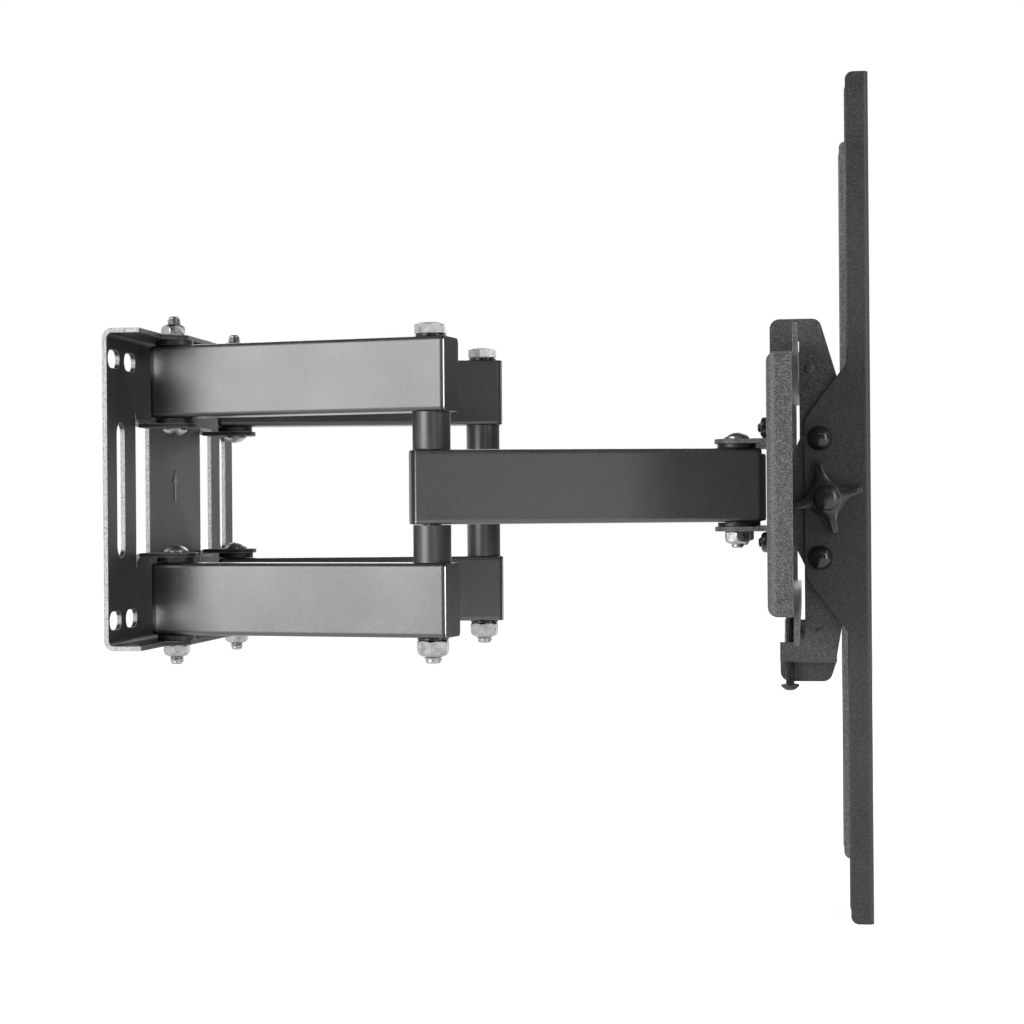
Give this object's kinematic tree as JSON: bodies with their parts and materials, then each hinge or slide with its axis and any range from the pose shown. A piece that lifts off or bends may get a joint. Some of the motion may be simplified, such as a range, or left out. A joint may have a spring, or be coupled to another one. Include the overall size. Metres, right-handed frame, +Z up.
{
  "type": "full motion tv wall mount",
  "caption": "Full motion TV wall mount: slotted wall plate, folding tube arms, wide front plate, and tilting uprights that hook over it.",
  "frame": {"origin": "middle of the wall plate's back face", "axes": "+X away from the wall towards the TV, +Y away from the picture's camera, +Z up"},
  "size_m": [0.404, 0.462, 0.434],
  "materials": {
    "coated_steel": "fine textured black powder coat",
    "zinc_steel": "bright zinc plate",
    "black_steel": "black zinc",
    "black_plastic": "moulded",
    "nylon": "turned"
  },
  "bodies": {
    "wall": {"wall_plate": "coated_steel", "wall_pivot_bolts": "zinc_steel", "wall_pivot_nuts": "zinc_steel", "wall_pivot_washers": "black_plastic"},
    "near_first_arm": {"near_upper_first_tube": "coated_steel", "near_lower_first_tube": "coated_steel", "near_first_caps": "black_plastic", "near_first_bushes": "nylon", "near_elbow_spacers": "coated_steel", "near_elbow_washers": "zinc_steel", "near_elbow_bolt": "zinc_steel", "near_elbow_nut": "zinc_steel"},
    "near_second_arm": {"near_second_tube": "coated_steel", "near_second_caps": "black_plastic", "near_second_bushes": "nylon"},
    "far_first_arm": {"far_upper_first_tube": "coated_steel", "far_lower_first_tube": "coated_steel", "far_first_caps": "black_plastic", "far_first_bushes": "nylon", "far_elbow_spacers": "coated_steel", "far_elbow_washers": "zinc_steel", "far_elbow_bolt": "zinc_steel", "far_elbow_nut": "zinc_steel"},
    "far_second_arm": {"far_second_tube": "coated_steel", "far_second_caps": "black_plastic", "far_second_bushes": "nylon"},
    "head": {"head_bracket": "coated_steel", "head_pivot_bolts": "zinc_steel", "head_pivot_nuts": "zinc_steel", "head_pivot_washers": "black_plastic", "head_bracket_screws": "black_steel", "front_plate": "coated_steel"},
    "near_hook": {"near_hook_plate": "coated_steel", "near_tilt_bolt": "zinc_steel"},
    "near_lock_screw": {"near_lock_screw": "zinc_steel"},
    "near_knob": {"near_knob": "black_plastic"},
    "near_upright": {"near_upright": "coated_steel", "near_guide_bolts": "black_steel", "near_guide_nuts": "zinc_steel"},
    "far_hook": {"far_hook_plate": "coated_steel", "far_tilt_bolt": "zinc_steel"},
    "far_lock_screw": {"far_lock_screw": "zinc_steel"},
    "far_knob": {"far_knob": "black_plastic"},
    "far_upright": {"far_upright": "coated_steel", "far_guide_bolts": "black_steel", "far_guide_nuts": "zinc_steel"}
  },
  "joints": [
    {"name": "near_wall_swivel", "type": "hinge", "parent": "wall", "child": "near_first_arm", "pos_m": [0.0215, -0.061, 0], "axis": [0, 0, -1], "range_deg": [0, 78]},
    {"name": "near_elbow", "type": "hinge", "parent": "near_first_arm", "child": "near_second_arm", "pos_m": [0.17252, -0.0885, 0], "axis": [0, 0, 1], "range_deg": [0, 152]},
    {"name": "near_head_swivel", "type": "hinge", "parent": "near_second_arm", "child": "head", "pos_m": [0.33402, -0.048, 0], "axis": [0, 0, 1], "range_deg": [-74, 0]},
    {"name": "far_wall_swivel", "type": "hinge", "parent": "wall", "child": "far_first_arm", "pos_m": [0.0215, 0.061, 0], "axis": [0, 0, 1], "range_deg": [0, 78]},
    {"name": "far_elbow", "type": "hinge", "parent": "far_first_arm", "child": "far_second_arm", "pos_m": [0.17252, 0.0885, 0], "axis": [0, 0, -1], "range_deg": [0, 152]},
    {"name": "near_hook_slide", "type": "slide", "parent": "head", "child": "near_hook", "axis": [0, -1, 0], "range_m": [-0.05, 0.1]},
    {"name": "near_tilt", "type": "hinge", "parent": "near_hook", "child": "near_upright", "pos_m": [0.38152, -0.114, -0.0078], "axis": [0, 1, 0], "range_deg": [-10, 7]},
    {"name": "near_knob_turn", "type": "hinge", "parent": "near_hook", "child": "near_knob", "pos_m": [0.38152, -0.12, -0.0078], "axis": [0, -1, 0], "continuous": true},
    {"name": "near_lock_travel", "type": "slide", "parent": "near_hook", "child": "near_lock_screw", "axis": [0, 0, 1], "range_m": [-0.012, 0]},
    {"name": "far_hook_slide", "type": "slide", "parent": "head", "child": "far_hook", "axis": [0, 1, 0], "range_m": [-0.05, 0.1]},
    {"name": "far_tilt", "type": "hinge", "parent": "far_hook", "child": "far_upright", "pos_m": [0.38152, 0.114, -0.0078], "axis": [0, 1, 0], "range_deg": [-10, 7]},
    {"name": "far_knob_turn", "type": "hinge", "parent": "far_hook", "child": "far_knob", "pos_m": [0.38152, 0.12, -0.0078], "axis": [0, 1, 0], "continuous": true},
    {"name": "far_lock_travel", "type": "slide", "parent": "far_hook", "child": "far_lock_screw", "axis": [0, 0, 1], "range_m": [-0.012, 0]}
  ],
  "couplings": [
    {"joint": "near_elbow", "follows": "near_wall_swivel", "ratio": 1.947},
    {"joint": "near_head_swivel", "follows": "near_wall_swivel", "ratio": -0.947},
    {"joint": "far_wall_swivel", "follows": "near_wall_swivel", "ratio": 1},
    {"joint": "far_elbow", "follows": "near_wall_swivel", "ratio": 1.947},
    {"joint": "far_tilt", "follows": "near_tilt", "ratio": 1}
  ]
}
